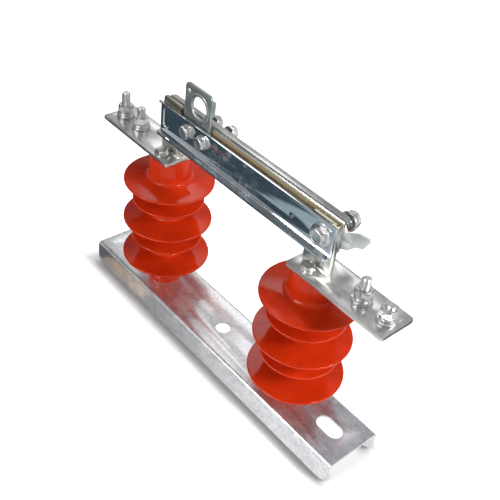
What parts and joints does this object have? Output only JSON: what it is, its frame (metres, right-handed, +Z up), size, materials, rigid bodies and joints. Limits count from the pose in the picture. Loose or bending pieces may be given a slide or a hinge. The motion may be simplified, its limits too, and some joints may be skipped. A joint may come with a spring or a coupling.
{
  "type": "disconnect switch",
  "caption": "Single-pole outdoor knife switch: hinged twin blades with a hook ring between terminal plates on ribbed post insulators, on a slotted channel base.",
  "frame": {"origin": "middle of the base channel's footprint, on the floor", "axes": "+X along the base to the hinged end, +Y to the spring side of the blades, +Z up"},
  "size_m": [0.445, 0.105, 0.309],
  "materials": {
    "zinc_sheet": "bright galvanised, lightly spangled",
    "red_silicone": "glossy moulded silicone",
    "bright_plate": "rolled flat bar, bright",
    "contact_metal": "plated contact bar",
    "ring_steel": "satin zinc",
    "plated_steel": "bright zinc",
    "spring_steel": "bright spring wire"
  },
  "bodies": {
    "base": {"base_channel": "zinc_sheet", "foot_bolts_left": "plated_steel", "foot_bolts_right": "plated_steel", "foot_washers_left": "plated_steel", "foot_washers_right": "plated_steel", "hinge_tongue": "contact_metal", "insulator_left": "red_silicone", "insulator_right": "red_silicone", "jaw_tongue": "contact_metal", "lock_washers_left": "plated_steel", "lock_washers_right": "plated_steel", "lower_washers_left": "plated_steel", "lower_washers_right": "plated_steel", "mount_bolts_left": "plated_steel", "mount_bolts_right": "plated_steel", "mount_washers_left": "plated_steel", "mount_washers_right": "plated_steel", "terminal_bolts_left": "plated_steel", "terminal_bolts_right": "plated_steel", "terminal_nuts_left": "plated_steel", "terminal_nuts_right": "plated_steel", "terminal_plate_left": "bright_plate", "terminal_plate_right": "bright_plate", "upper_washers_left": "plated_steel", "upper_washers_right": "plated_steel"},
    "blade": {"blade_near": "zinc_sheet", "blade_far": "zinc_sheet", "opening_stop": "zinc_sheet", "pull_ring_plate": "ring_steel", "hinge_head_washer": "plated_steel", "hinge_bolt": "plated_steel", "hinge_washers": "plated_steel", "hinge_nut": "plated_steel", "hinge_spring": "spring_steel", "clamp_head_washers": "plated_steel", "clamp_bolts": "plated_steel", "clamp_washers": "plated_steel", "clamp_nuts": "plated_steel", "clamp_springs": "spring_steel"}
  },
  "joints": [
    {"name": "blade_hinge", "type": "hinge", "parent": "base", "child": "blade", "pos_m": [0.1205, 0, 0.253], "axis": [0, 1, 0], "range_deg": [0, 74]}
  ]
}
